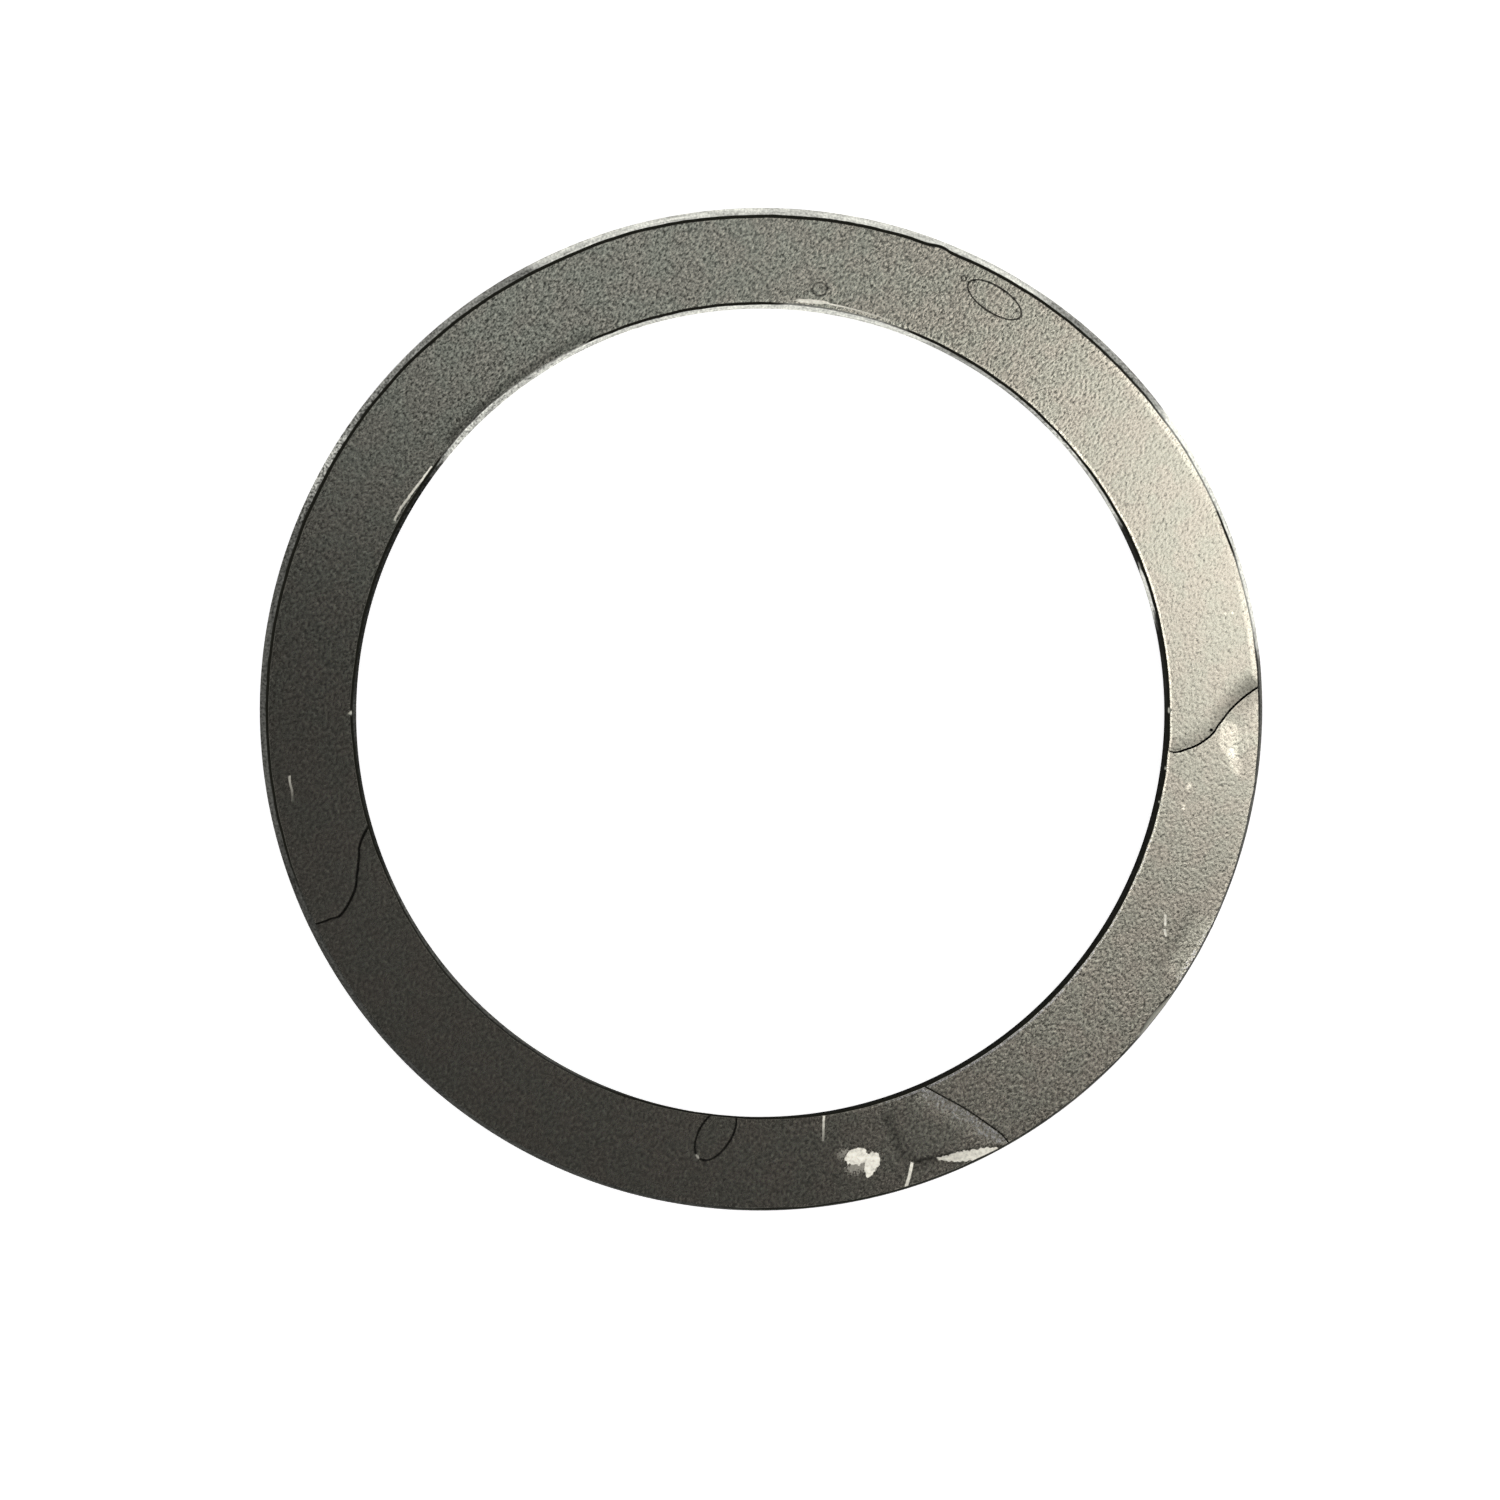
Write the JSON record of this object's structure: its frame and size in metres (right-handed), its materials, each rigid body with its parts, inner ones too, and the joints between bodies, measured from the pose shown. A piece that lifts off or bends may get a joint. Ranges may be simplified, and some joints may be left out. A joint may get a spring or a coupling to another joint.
{
  "type": "shim ring",
  "caption": "Flat steel shim ring: a thin, narrow annulus with sheared bore and rim walls, laid flat.",
  "frame": {"origin": "centre of the bore on the lower face, on which the ring lies", "axes": "+Z along the bore axis, from the lower face to the upper face; +X and +Y lie in the lower face"},
  "size_m": [0.062, 0.062, 0.002],
  "materials": {
    "steel": "matt cold-rolled spring steel strip, lightly oiled, with dried oil lines and small scuffs"
  },
  "bodies": {
    "root": {"shim_ring": "steel"}
  },
  "joints": []
}
